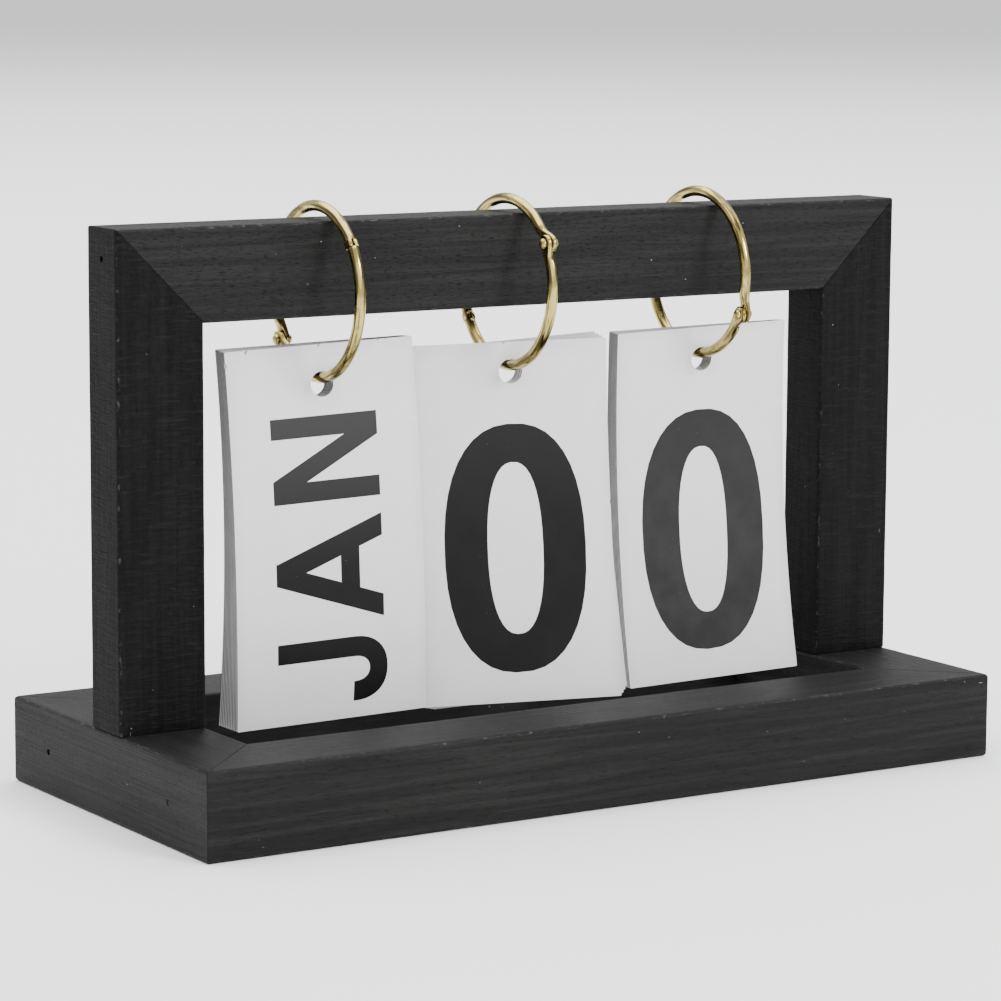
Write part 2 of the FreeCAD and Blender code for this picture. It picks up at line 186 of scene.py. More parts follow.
def wood_material(name, base, lift, ripple, sheen, grain_depth):
    """Black paint rubbed thin over open grain. base is the paint's colour, which some
    strips get paler or darker as painted light and shade, lift is how far the high grain
    shows paler, ripple is how strongly the saw marks that run across the strip show,
    sheen is how much its surface reflects, and grain_depth is how open the pores are."""
    paint = Paint(name)
    grain = paint.attribute("grain", vector=True)
    pores = paint.noise(paint.scaled(grain, (0.11, 1.0, 1.0), (7.0, 3.0, 1.0)), 4.6, 6.0, 0.65)
    bands = paint.noise(paint.scaled(grain, (0.035, 1.0, 1.0)), 0.55, 5.0, 0.6, 0.8)
    brushing = paint.noise(paint.scaled(grain, (0.02, 2.2, 2.2), (2.0, 9.0, 4.0)), 1.3, 3.0)
    blotches = paint.noise(paint.place(), 34.0, 4.0, 0.6)
    open_grain = paint.math("MULTIPLY", paint.ramp(pores, 0.56, 0.70), grain_depth)
    tone = paint.mix(paint.ramp(bands, 0.35, 0.72), base, shade(base, lift))
    tone = paint.mix(paint.math("MULTIPLY", open_grain, 0.35), tone, shade(base, 0.35))

    # paint rubbed off the edges, then dust and lint stuck in what is left
    chips = paint.noise(paint.scaled(grain, (0.5, 1.0, 1.0)), 1.15, 5.0, 0.7)
    near_edge = paint.ramp(paint.attribute("edge"), 0.45, 1.0)
    rubbed = paint.math("MULTIPLY", near_edge, paint.ramp(chips, 0.55, 0.65))
    tone = paint.mix(paint.math("MULTIPLY", rubbed, 0.50), tone, (0.15, 0.14, 0.13))
    dust = paint.specks(paint.scaled(grain, (0.8, 1.0, 1.0)), 0.30, 0.042)
    lint = paint.specks(paint.scaled(grain, (0.10, 1.0, 1.0), (5.0, 5.0, 5.0)), 0.42, 0.030)
    rare = paint.ramp(paint.noise(paint.place(), 60.0, 2.0), 0.50, 0.60)
    pale = paint.math("MULTIPLY", paint.math("MAXIMUM", dust, lint), rare)
    tone = paint.mix(paint.math("MULTIPLY", pale, 0.7), tone, (0.42, 0.41, 0.40))

    saw = paint.noise(paint.scaled(grain, (1.0, 0.10, 0.10), (4.0, 8.0, 6.0)), 1.9, 4.0, 0.6, 0.6)
    ridges = paint.math("MULTIPLY", paint.ramp(saw, 0.5, 0.7), ripple * 0.6)
    tone = paint.mix(ridges, tone, shade(base, 2.3))
    relief = paint.math("SUBTRACT", paint.math("MULTIPLY", brushing, 0.5),
                        paint.math("MULTIPLY", open_grain, 0.9))
    relief = paint.math("ADD", relief, paint.math("MULTIPLY", saw, 2.2 * ripple))
    gloss = paint.math("ADD", paint.math("MULTIPLY", blotches, 0.18),
                       paint.math("MULTIPLY", brushing, 0.16))
    return paint.finish(tone, paint.math("ADD", gloss, 0.32), paint.bump(relief, 0.75, 0.0004),
                        Specular_IOR_Level=sheen)


def card_material(name, base):
    """Coated white card: faint mottling, handling marks, a little dust and a darker band along the rim
    and round the hole.
    """
    paint = Paint(name)
    flat = paint.attribute("flat", vector=True)
    mottle = paint.noise(flat, 0.09, 4.0, 0.6)
    fibre = paint.noise(flat, 2.6, 3.0, 0.6)
    marks = paint.ramp(paint.noise(paint.scaled(flat, (1.0, 0.25, 1.0)), 0.8, 4.0, 0.7), 0.66, 0.78)
    tone = paint.mix(paint.ramp(mottle, 0.3, 0.7), base, shade(base, 0.955))
    tone = paint.mix(paint.math("MULTIPLY", marks, 0.05), tone, (0.45, 0.44, 0.42))
    rare = paint.ramp(paint.noise(flat, 0.13, 2.0), 0.52, 0.62)
    dust = paint.math("MULTIPLY", paint.specks(flat, 0.32, 0.035), rare)
    tone = paint.mix(paint.math("MULTIPLY", dust, 0.35), tone, (0.25, 0.24, 0.23))
    # darker in a thin band along the card's rim and round its hole
    rim = paint.math("MULTIPLY", paint.attribute("rim"), 0.35)
    tone = paint.mix(rim, tone, shade(base, 0.72))
    rough = paint.math("ADD", paint.math("MULTIPLY", mottle, 0.14), 0.30)
    return paint.finish(tone, rough, paint.bump(fibre, 0.05, 0.00005),
                        Specular_IOR_Level=0.45, Coat_Weight=0.12, Coat_Roughness=0.30)


def ink_material(name, high, low):
    """Black offset ink with a satin film and pinholes, made paler towards the top of the
    card as a painted sheen. high is its grey near the top, which holds that painted
    sheen, and low is the ink's grey near the bottom."""
    paint = Paint(name)
    flat = paint.attribute("flat", vector=True)
    mottle = paint.noise(flat, 0.12, 4.0, 0.6)
    pinholes = paint.math("MULTIPLY", paint.specks(flat, 0.7, 0.045),
                          paint.ramp(paint.noise(flat, 0.2, 2.0), 0.5, 0.6))
    worn = (low * 1.5, low * 1.45, low * 1.45)
    tone = paint.mix(paint.ramp(mottle, 0.3, 0.7), grey(low), worn)
    # painted sheen: the ink is painted paler towards the top of the card
    painted_sheen = paint.ramp(paint.axis(flat, 1), -45.0, 0.0, 0.0, 0.9)
    tone = paint.mix(painted_sheen, tone, grey(high))
    tone = paint.mix(paint.math("MULTIPLY", pinholes, 0.5), tone, grey(0.5))
    rough = paint.math("ADD", paint.math("MULTIPLY", mottle, 0.16), 0.30)
    fibre = paint.noise(flat, 2.6, 3.0, 0.6)
    return paint.finish(tone, rough, paint.bump(fibre, 0.05, 0.00005),
                        Specular_IOR_Level=0.12, Coat_Weight=0.03, Coat_Roughness=0.30)


def edge_material():
    """The cut edge of the card: grey pulp, darker near both faces as painted shade
    between the leaves, so that each leaf of a stack shows, and darker on some leaves
    than on others."""
    paint = Paint("card_cut_edge")
    flat = paint.attribute("flat", vector=True)
    fibre = paint.noise(paint.scaled(flat, (1.0, 1.0, 12.0)), 1.7, 4.0, 0.7)
    leaf = paint.noise(paint.scaled(flat, (0.0217, 0.0, 0.0)), 1.0, 0.0)
    from_core = paint.math("ABSOLUTE", paint.math("SUBTRACT", paint.axis(flat, 2), CARD_THICK / 2))
    tone = paint.mix(fibre, grey(0.08), grey(0.19))
    tone = paint.mix(paint.ramp(leaf, 0.40, 0.60), tone, grey(0.035))
    # painted shade: darker towards both faces, where the leaves of a stack meet
    tone = paint.mix(paint.ramp(from_core, 0.06, CARD_THICK / 2), tone, grey(0.02))
    return paint.finish(tone, 0.85, paint.bump(fibre, 0.3, 0.00008), Specular_IOR_Level=0.2)


def brass_material(name, base, rough):
    """Thin brass plating over steel wire: dark streaks along the wire that are painted
    reflections, tarnish spots and fine scratches."""
    paint = Paint(name)
    spot = paint.place()
    wire = paint.attribute("wire", vector=True)
    painted_reflection_streaks = paint.noise(paint.scaled(wire, (0.10, 1.0, 1.0)), 1.15, 3.0, 0.55)
    tarnish = paint.ramp(paint.noise(spot, 190.0, 5.0, 0.65, 0.4), 0.48, 0.70)
    drift = paint.noise(spot, 55.0, 3.0)
    drawn = paint.noise(paint.scaled(spot, (5.0, 0.6, 0.6)), 700.0, 3.0)
    brown = tuple(channel * part for channel, part in zip(base, (0.34, 0.29, 0.20)))
    tone = paint.mix(paint.ramp(drift, 0.35, 0.68), base, shade(base, 0.84))
    tone = paint.mix(paint.math("MULTIPLY", tarnish, 0.6), tone, brown)
    # painted reflection: dark bands along the wire stand in for reflected dark surroundings
    tone = paint.mix(paint.ramp(painted_reflection_streaks, 0.47, 0.58, 0.0, 0.88), tone, shade(base, 0.13))
    gloss = paint.math("ADD", paint.math("MULTIPLY", tarnish, 0.22),
                       paint.math("MULTIPLY", drift, 0.10))
    return paint.finish(tone, paint.math("ADD", gloss, rough), paint.bump(drawn, 0.10, 0.00006),
                        Metallic=1.0)


def steel_material():
    """Zinc-bright steel, for the brads and screws."""
    paint = Paint("zinc_steel")
    spot = paint.place()
    cloud = paint.noise(spot, 420.0, 4.0, 0.6)
    tone = paint.mix(cloud, (0.30, 0.30, 0.31), (0.52, 0.52, 0.53))
    rough = paint.math("ADD", paint.math("MULTIPLY", cloud, 0.2), 0.3)
    return paint.finish(tone, rough, paint.bump(cloud, 0.1, 0.00005), Metallic=1.0)


# ------------------------------------------------------------------ mesh helpers
def smooth_faces(mesh, sharp):
    """Shades a mesh smooth, except across corners sharper than an angle."""
    for polygon in mesh.polygons:
        polygon.use_smooth = True
    mesh.set_sharp_from_angle(angle=math.radians(sharp))


def circle(radius, sides):
    """Points round a circle, as pairs."""
    turns = (math.tau * side / sides for side in range(sides))
    return [(radius * math.cos(turn), radius * math.sin(turn)) for turn in turns]


def squared(turn, power):
    """The cosine and sine of an angle, drawn out from a circle towards a square as
    the power falls below 1."""
    return tuple(math.copysign(abs(part) ** power, part)
                 for part in (math.cos(turn), math.sin(turn)))


def spaced(start, stop, step):
    """Evenly spaced numbers from start, below stop."""
    return [start + step * index for index in range(max(0, math.ceil((stop - start) / step)))]


def new_object(name, bm, materials, sharp=SHARP):
    """Makes an object of a bmesh."""
    bmesh.ops.recalc_face_normals(bm, faces=bm.faces)
    mesh = bpy.data.meshes.new(name)
    bm.to_mesh(mesh)
    bm.free()
    for material in materials:
        mesh.materials.append(material)
    smooth_faces(mesh, sharp)
    piece = bpy.data.objects.new(name, mesh)
    COLLECTION.objects.link(piece)
    return piece


def loft(name, rings, materials, sharp=SHARP):
    """A closed tube through rings of points, capped at both ends."""
    bm = bmesh.new()
    loops = [[bm.verts.new(point) for point in ring] for ring in rings]
    for first, second in zip(loops, loops[1:]):
        for index in range(len(first)):
            after = (index + 1) % len(first)
            bm.faces.new((first[index], first[after], second[after], second[index]))
    bm.faces.new(loops[0][::-1])
    bm.faces.new(loops[-1])
    return new_object(name, bm, materials, sharp)


# ------------------------------------------------------------------ wooden strips
EASE = 0.8 * MM  # radius of the long edges
EASE_STEPS = 4
SEAM = 0.14 * MM  # how far a strip's mitred faces are drawn in
SEAM_RUN = 1.6 * SEAM  # and the length over which that happens
RUN_STEP = 2.6 * MM
NEAR_EDGES = (0.5, 1.2, 2.4)  # millimetres from an eased edge, where points lie closer
PLANED = (55.0, 0.05 * MM)  # pattern scale and depth of the uneven planing
SANDED = (160.0, 0.04 * MM)  # the same for the hollows that sanding left
RUBBED = 1.5 * MM  # width of the band along an edge that can lose its paint
GRAIN_SHIFT = 900.0  # moves the grain pattern from strip to strip
DRUM_SIDES = 24
PAINTED_OVER = 0.2  # share of a front brad's recess that the paint leaves open
X, Y, Z = Vector((1, 0, 0)), Vector((0, 1, 0)), Vector((0, 0, 1))
# Each strip runs from its start along the first vector; the second points from its
# outer edge to its inner edge and the third through its thickness. The pair says
# whether its start and its end are mitred.
STRIPS = {
    "base_front_rail": (X, Y, Z, (True, True)),
    "base_back_rail": (-X, -Y, Z, (True, True)),
    "base_left_rail": (-Y, X, Z, (True, True)),
    "base_right_rail": (Y, -X, Z, (True, True)),
    "left_post": (-Z, X, -Y, (True, False)),
    "right_post": (-Z, -X, -Y, (True, False)),
    "top_rail": (-X, -Z, -Y, (True, True)),
}


def section_outline(width, thickness, inset=0.0):
    """Points round a strip's section, with eased corners and closer spacing near
    them. inset pulls the whole outline in."""
    radius = max(EASE - inset, 0.1 * MM)
    centres = ((EASE, EASE, 180), (width - EASE, EASE, 270),
               (width - EASE, thickness - EASE, 0), (EASE, thickness - EASE, 90))
    arcs = []
    for across, deep, first_angle in centres:
        arc = []
        for step in range(EASE_STEPS + 1):
            angle = math.radians(first_angle + 90 * step / EASE_STEPS)
            arc.append((across + radius * math.cos(angle), deep + radius * math.sin(angle)))
        arcs.append(arc)
    points = []
    for arc, following in zip(arcs, arcs[1:] + arcs[:1]):
        points += arc
        start, end = Vector(arc[-1]), Vector(following[0])
        length = (end - start).length
        near = [offset * MM / length for offset in NEAR_EDGES]
        for share in near + [0.5] + [1.0 - share for share in reversed(near)]:
            points.append(tuple(start.lerp(end, share)))
    return points


def strip_piece(node, cutters):
    """One mitred strip, a little uneven along its sanded edges, with fine open seams."""
    run, inward, through, mitres = STRIPS[node]
    low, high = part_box(node)
    lean = run + inward + through
    origin = Vector(high[a] if lean[a] < 0 else low[a] for a in range(3))
    span = high - low
    length, width, thickness = (abs(span.dot(way)) for way in (run, inward, through))
    outline = section_outline(width, thickness)
    tight = section_outline(width, thickness, SEAM)
    steps = max(4, round(length / RUN_STEP))
    shares = [0.0, SEAM_RUN / length]
    shares += [step / steps for step in range(1, steps)]
    shares += [1.0 - SEAM_RUN / length, 1.0]
    rings = []
    for share in shares:
        ring = []
        shape = tight if share in (0.0, 1.0) else outline
        for across, deep in shape:
            start = across if mitres[0] else 0.0
            end = length - across if mitres[1] else length
            along = start + (end - start) * share
            point = origin + run * along + inward * across + through * deep
            to_core = inward * (width / 2 - across) + through * (thickness / 2 - deep)
            wear = abs(noise.noise(point * PLANED[0])) * PLANED[1]
            wear += max(0.0, noise.noise(point * SANDED[0])) * SANDED[1]
            ring.append(point + to_core.normalized() * wear)
        rings.append(ring)
    piece = loft("wood_" + node, rings, [])
    for cutter in cutters:
        cut = piece.modifiers.new("recess", "BOOLEAN")
        cut.operation = "DIFFERENCE"
        cut.object = cutter
        cut.solver = "EXACT"
    bake_modifiers(piece)
    paint_strip(piece, origin, run, inward, through, width, thickness)
    return piece


def bake_modifiers(piece):
    """Replaces a piece's mesh with the mesh its modifiers make."""
    graph = bpy.context.evaluated_depsgraph_get()
    mesh = bpy.data.meshes.new_from_object(piece.evaluated_get(graph))
    piece.modifiers.clear()
    piece.data = mesh
    smooth_faces(mesh, SHARP)


def paint_strip(piece, origin, run, inward, through, width, thickness):
    """Stores grain coordinates in millimetres and how near each vertex is to a long
    edge, both for the wood material."""
    mesh = piece.data
    mesh.attributes.new("grain", "FLOAT_VECTOR", "POINT")
    mesh.attributes.new("edge", "FLOAT", "POINT")
    grain, edge = mesh.attributes["grain"], mesh.attributes["edge"]
    for index, vertex in enumerate(mesh.vertices):
        local = vertex.co - origin
        along, across, deep = local.dot(run), local.dot(inward), local.dot(through)
        grain.data[index].vector = Vector((along, across, deep)) / MM + origin * GRAIN_SHIFT
        to_side = min(abs(across), abs(width - across))
        to_face = min(abs(deep), abs(thickness - deep))
        edge.data[index].value = max(0.0, 1.0 - max(to_side, to_face) / RUBBED)


def drum(point, axis, radius, depth):
    """A cutter: a closed drum that starts half a millimetre outside the surface."""
    turn = axis.to_track_quat("Z", "Y").to_matrix()
    rings = [[point + turn @ Vector((x, y, height)) for x, y in circle(radius, DRUM_SIDES)]
             for height in (-0.5 * MM, depth)]
    return loft("cutter", rings, [])


def recess_cutters():
    """The cutters of each strip that has brads or a screw in it. The back brads are
    open pits and the front ones nearly filled with paint."""
    low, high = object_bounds()
    base_low, base_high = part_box("base_corner_brads")
    frame_low, frame_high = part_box("frame_corner_brads")
    screw_low, screw_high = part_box("post_screws")
    brad_radius = (base_high.z - base_low.z) / 2
    base_height = (base_high.z + base_low.z) / 2
    frame_height = (frame_high.z + frame_low.z) / 2
    head_radius = (screw_high.y - screw_low.y) / 2
    recess = base_low.x - low.x
    cutters = {}
    for side, word in ((-1, "left"), (1, "right")):
        face = low.x if side < 0 else high.x
        screw_x = screw_low.x + head_radius if side < 0 else screw_high.x - head_radius
        front = Vector((face, base_low.y + brad_radius, base_height))
        back = Vector((face, base_high.y - brad_radius, base_height))
        inside = Vector((-side, 0, 0))
        cutters[f"base_{word}_rail"] = [
            drum(front, inside, brad_radius, recess * PAINTED_OVER),
            drum(back, inside, brad_radius, recess),
            drum(Vector((screw_x, 0, 0)), Z, head_radius, screw_low.z),
        ]
        top = Vector((face, 0, frame_height))
        cutters[f"{word}_post"] = [drum(top, inside, brad_radius, recess)]
    return cutters


def build_stand():
    """All seven strips, with recesses that show the brad and screw heads."""
    cutters = recess_cutters()
    bpy.context.view_layer.update()
    # One black paint in three copies: the posts' is darker, painted shade, and the top rail's paler,
    # painted light.
    base_paint = wood_material("painted_base", (0.0092, 0.0090, 0.0088), 1.9, 0.10, 0.08, 0.35)
    post_paint = wood_material("posts_paint_in_painted_shade", (0.0070, 0.0069, 0.0069), 1.6, 1.0, 0.03, 1.0)
    rail_paint = wood_material("rail_paint_in_painted_light", (0.0120, 0.0118, 0.0117), 1.7, 0.15, 0.05, 0.8)
    for node in STRIPS:
        piece = strip_piece(node, cutters.get(node, []))
        piece.data.materials.clear()
        paint = base_paint if node.startswith("base") else post_paint
        piece.data.materials.append(rail_paint if node == "top_rail" else paint)
        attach(piece, "stand")
        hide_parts(node)
    for group in cutters.values():
        for cutter in group:
            bpy.data.objects.remove(cutter)


# ------------------------------------------------------------------ glyphs
# A glyph is a list of simple polygons in millimetres, on a baseline at 0. Overlaps
# are united when the card is meshed.
CAP = 25.5  # height of the capitals
STEM = 4.4  # thickness of their upright strokes
BAR = 4.3  # and of their level ones


def box_shape(x0, y0, x1, y1):
    return [(x0, y0), (x1, y0), (x1, y1), (x0, y1)]


def slant(x_low, x_high, width, y_low=0.0, y_high=CAP):
    """A sloping stroke with level ends."""
    return [(x_low, y_low), (x_low + width, y_low), (x_high + width, y_high), (x_high, y_high)]


def bow_shapes(x, y, rx, ry, first, last, tx=STEM, ty=BAR, power=2.25):
    """A thick oval arc from one angle to another, in degrees, as pieces under half a
    turn. rx and ry are its outer radii, and tx and ty its thickness at the side and
    the top. A power above 2 squares it up a little."""
    shapes = []
    parts = max(1, math.ceil((last - first) / 120.0))
    for part in range(parts):
        start = first + (last - first) * part / parts
        end = first + (last - first) * (part + 1) / parts
        outer, inner = [], []
        count = max(4, round((end - start) / 9))
        for step in range(count + 1):
            turn = math.radians(start + (end - start) * step / count)
            right, up = squared(turn, 2 / power)
            outer.append((x + rx * right, y + ry * up))
            inner.append((x + (rx - tx) * right, y + (ry - ty) * up))
        shapes.append(outer + inner[::-1])
    return shapes


def letters():
    """Width and shapes of each capital that the months need."""
    top = CAP - BAR
    stem = box_shape(0, 0, STEM, CAP)
    upper_bowl = bow_shapes(9.8, 18.1, 8.2, 7.4, -90, 90)
    foot = box_shape(2, 0, 16.4, BAR)
    head = box_shape(2, top, 16.4, CAP)
    waist = box_shape(2, 10.7, 10.2, 15.0)
    return {
        "A": (22.6, [slant(0, 8.95, 4.85), slant(17.75, 8.8, 4.85),
                     box_shape(4.2, 5.6, 18.4, 10.1)]),
        "B": (19.0, [stem, box_shape(2, top, 10.2, CAP), waist, box_shape(2, 0, 10.8, BAR)]
              + upper_bowl + bow_shapes(10.4, 7.5, 8.6, 7.5, -90, 90)),
        "C": (20.0, bow_shapes(10.4, CAP / 2, 10.4, 13.1, 42, 318)),
        "D": (20.0, [stem, box_shape(2, 0, 9, BAR), box_shape(2, top, 9, CAP)]
              + bow_shapes(8.8, CAP / 2, 11.2, CAP / 2, -90, 90)),
        "E": (16.6, [stem, foot, head, box_shape(2, 10.9, 15.2, 15.1)]),
        "F": (16.2, [stem, head, box_shape(2, 10.5, 14.6, 14.7)]),
        "G": (21.0, bow_shapes(10.6, CAP / 2, 10.6, 13.1, 42, 340)
              + [box_shape(11.2, 9.6, 21.0, 13.6), box_shape(16.8, 1.6, 21.0, 12)]),
        "J": (14.3, [box_shape(9.9, 7.0, 14.3, CAP)] + bow_shapes(7.15, 7.2, 7.15, 7.9, 178, 360)),
        "L": (16.0, [stem, box_shape(2, 0, 16.0, BAR)]),
        "M": (23.4, [stem, box_shape(19.0, 0, 23.4, CAP),
                     [(0.4, CAP), (5.2, CAP), (13.9, 3.2), (9.5, 3.2)],
                     [(18.2, CAP), (23.0, CAP), (13.9, 3.2), (9.5, 3.2)]]),
        "N": (18.3, [stem, box_shape(13.9, 0, 18.3, CAP),
                     [(0.3, CAP), (5.0, CAP), (18.0, 0), (13.3, 0)]]),
        "O": (23.0, bow_shapes(11.5, CAP / 2, 11.5, 13.15, 0, 360)),
        "P": (18.2, [stem, box_shape(2, top, 10.2, CAP), waist] + upper_bowl),
        "R": (19.4, [stem, box_shape(2, top, 10.2, CAP), waist, slant(14.4, 8.4, 5.0, 0, 12.6)]
              + upper_bowl),
        "S": (18.6, bow_shapes(9.2, 18.5, 8.9, 7.4, 18, 270, 4.6)
              + bow_shapes(9.3, 7.3, 9.3, 7.7, -162, 90, 4.6)),
        "T": (18.8, [box_shape(0, top, 18.8, CAP), box_shape(7.2, 0, 11.6, CAP)]),
        "U": (18.8, [box_shape(0, 9.0, STEM, CAP), box_shape(14.4, 9.0, 18.8, CAP)]
              + bow_shapes(9.4, 9.3, 9.4, 9.7, 180, 360)),
        "V": (21.4, [slant(8.3, 0, 4.8), slant(8.3, 16.6, 4.8)]),
        "Y": (20.8, [slant(8.1, 0, 5.0, 10.4), slant(7.7, 15.8, 5.0, 10.4),
                     box_shape(8.2, 0, 12.6, 12.0)]),
    }


MONTHS = ("JAN", "FEB", "MAR", "APR", "MAY", "JUN", "JUL", "AUG", "SEP", "OCT", "NOV", "DEC")
LETTER_GAP = 3.8
LONGEST_WORD = 64.0  # longer words are squeezed to this
WORD_MIDDLE = -38.0  # below the card's hole
BASELINE = 12.5  # right of the card's middle
DIGIT_TALL = 54.6
DIGIT_WIDE = 32.6
DIGIT_MIDDLE = -39.0
THICK = 9.9  # a digit's strokes at the side
FLAT = 8.5  # and at the top and the bottom


def month_shapes(text):
    """The month's name, turned to read upwards and centred on the card."""
    table = letters()
    total = sum(table[letter][0] for letter in text) + LETTER_GAP * (len(text) - 1)
    squeeze = min(1.0, LONGEST_WORD / total)
    start = WORD_MIDDLE - total * squeeze / 2
    shapes = []
    for letter in text:
        width, parts = table[letter]
        for part in parts:
            shapes.append([(BASELINE - y, start + x * squeeze) for x, y in part])
        start += (width + LETTER_GAP) * squeeze
    return shapes


def digit_shapes(digit):
    """One tall digit, centred on the card."""
    tall, wide, mid = DIGIT_TALL, DIGIT_WIDE, DIGIT_WIDE / 2
    top = tall - FLAT
    oval = bow_shapes(mid, tall / 2, mid, tall / 2 + 0.2, 0, 360, THICK, FLAT, 2.35)
    small_ring = bow_shapes(mid, 17.2, mid, 17.6, 0, 360, THICK, 7.8)
    table = {
        0: oval,
        1: [box_shape(13.4, 0, 23.0, tall), [(5.0, 40.5), (5.0, 48.0), (15.5, tall), (15.5, 45.5)]],
        2: bow_shapes(mid, 38.2, mid, 16.6, -22, 168, THICK, FLAT)
           + [box_shape(0.4, 0, 32.4, FLAT), [(0.4, 7.0), (11.6, 7.0), (31.4, 31.5), (22.0, 35.5)]],
        3: bow_shapes(mid - 0.6, 39.6, mid - 1.2, 15.2, -90, 160, THICK, 8.0)
           + bow_shapes(mid, 16.0, mid, 16.4, -160, 90, THICK, 8.2)
           + [box_shape(11.0, 24.4, 17.0, 32.0)],
        4: [box_shape(18.6, 0, 28.0, tall), box_shape(0, 11.6, 33.0, 19.6),
            [(0, 16.0), (0, 19.6), (18.9, tall), (25.0, tall), (25.0, 46.0), (9.6, 16.0)]],
        5: bow_shapes(mid, 17.0, mid, 17.4, -158, 90, THICK, FLAT)
           + [box_shape(4.4, top, 30.4, tall), box_shape(6.0, 25.6, 17.0, 34.2),
              [(2.2, 24.5), (11.4, 24.5), (13.0, tall), (4.4, tall)]],
        6: bow_shapes(mid, tall / 2, mid, tall / 2 + 0.2, 62, 250, THICK, FLAT, 2.35) + small_ring
           + bow_shapes(mid, 38.0, mid - 0.6, 16.8, 20, 120, THICK, 8.0),
        7: [box_shape(0.6, top, 32.2, tall), [(6.6, 0), (16.8, 0), (32.2, 47.5), (23.6, 49.5)]],
        8: bow_shapes(mid, 40.6, mid - 1.6, 14.2, 0, 360, THICK, 7.6)
           + bow_shapes(mid, 15.8, mid, 16.2, 0, 360, THICK, 8.0),
    }
    table[9] = [[(wide - x, tall - y) for x, y in shape] for shape in table[6]]
    low = DIGIT_MIDDLE - tall / 2
    return [[(x - mid, y + low) for x, y in shape] for shape in table[digit]]


# ------------------------------------------------------------------ cards
CARD_WIDE = 45.0
CARD_BELOW = 73.0  # from the hole to the bottom edge
CARD_THICK = 0.26
HOLE_RADIUS = 2.7
HOLE_SIDES = 40
CORNER = 0.3
CORNER_STEPS = 6
RING_CENTRE = 109.0  # height above the desk
HOLE_DROP = 19.55  # from there to the cards' holes
ACROSS_STEP, UP_STEP = 5.0, 3.0  # spacing of the points that let a card bend
SHEET_SHIFT = 60.0  # moves the paper's pattern from card to card
PAPER, INK, CUT = range(3)  # a card's material slots
# The lie of the cards as in the CAD model, in millimetres and degrees: a pair is the
# front card's value and the step to the next card behind. twist, which the CAD model
# doesn't have, turns a card further about the vertical towards its bottom.
STACKS = {
    "month": dict(along=-49.2, above=8.5, top=(-1.3, 0.36), bottom=(-2.8, 0.64), bow=(1.85, 0.14),
                  turn=(-2.0, 0.0), tilt=(1.7, -0.05), twist=-2.4, cards=12),
    "tens": dict(along=-1.4, above=6.5, top=(-1.2, 0.88), bottom=(-8.6, 1.1), bow=(-1.3, 0.125),
                 turn=(-13.0, 1.2), tilt=(-0.5, 1.0), twist=-7.0, cards=4),
    "units": dict(along=49.7, above=7.3, top=(-2.3, 0.38), bottom=(-6.2, 0.45), bow=(-2.75, 0.065),
                  turn=(-2.0, 0.0), tilt=(1.4, -0.08), twist=-1.2, cards=10),
}
# Dents in the rims of the front cards: the side, the place along it and the depth. A
# dent's outline is a list of places, from its middle, and shares of its depth.
DENT = ((-0.5, 0.0), (-0.1, 1.0), (0.2, 0.7), (0.55, 0.0))
DENT_ROOM = 0.9  # on each side of a dent, where the rim has no other points
NICKS = {
    "month_card_01": (("top", -17.6, 0.9), ("top", -0.4, 0.5), ("top", 14.0, 0.35),
                      ("left", 5.6, 0.4), ("right", -9.5, 0.3)),
    "tens_card_01": (("top", -1.6, 0.4), ("right", -30.0, 0.25)),
    "units_card_01": (("top", 9.0, 0.3), ("left", -22.0, 0.25), ("right", -12.0, 0.2)),
}


def rotation(axis, degrees):
    return Matrix.Rotation(math.radians(degrees), 3, axis)


def card_placer(stack, number):
    """A function from card coordinates (across, up, depth behind the printed face, all
    in millimetres) to a point in the frame, in metres."""
    lie = STACKS[stack]
    value = {word: lie[word][0] + number * lie[word][1]
             for word in ("top", "bottom", "bow", "turn", "tilt")}
    height = lie["above"] + CARD_BELOW
    lean = (value["bottom"] - value["top"]) / height
    hole = Vector((lie["along"], value["top"] + lean * lie["above"], RING_CENTRE - HOLE_DROP))
    turned = (rotation("X", math.degrees(math.asin(lean))) @ rotation("Z", value["turn"])
              @ rotation("Y", -value["tilt"]))
    middle = (lie["above"] - CARD_BELOW) / 2

    def place(across, up, depth):
        bend = -value["bow"] * (1 - ((up - middle) / (height / 2)) ** 2)
        share = max(0.0, (lie["above"] - up) / height)
        twisted = rotation("Z", lie["twist"] * share * share) @ Vector((across, bend + depth, up))
        return (turned @ twisted + hole) * MM

    return place


def card_outline(name, above):
    """The card's rim in card coordinates, with rounded corners and any nicks."""
    right, top = CARD_WIDE / 2 - CORNER, above - CORNER
    left, bottom = -right, CORNER - CARD_BELOW
    arcs = []
    for (x, y), first in zip(((right, top), (left, top), (left, bottom), (right, bottom)),
                             (0, 90, 180, 270)):
        turns = (math.radians(first + 90 * step / CORNER_STEPS) for step in range(CORNER_STEPS + 1))
        arcs.append([(x + CORNER * math.cos(turn), y + CORNER * math.sin(turn)) for turn in turns])
    points = []
    for side, arc, following in zip(("top", "left", "bottom", "right"), arcs, arcs[1:] + arcs[:1]):
        start, end = Vector(arc[-1]), Vector(following[0])
        way = (end - start).normalized()
        inward = Vector((-way.y, way.x))
        axis = 0 if side in ("top", "bottom") else 1
        stops = [(distance, 0.0) for distance in spaced(UP_STEP, (end - start).length - 2.0, UP_STEP)]
        for where, depth in [nick[1:] for nick in NICKS.get(name, ()) if nick[0] == side]:
            middle = (where - start[axis]) / way[axis]
            stops = [stop for stop in stops if abs(stop[0] - middle) > DENT_ROOM]
            stops += [(middle + shift, depth * share) for shift, share in DENT]
        points += arc
        points += [tuple(start + way * distance + inward * depth) for distance, depth in sorted(stops)]
    return points


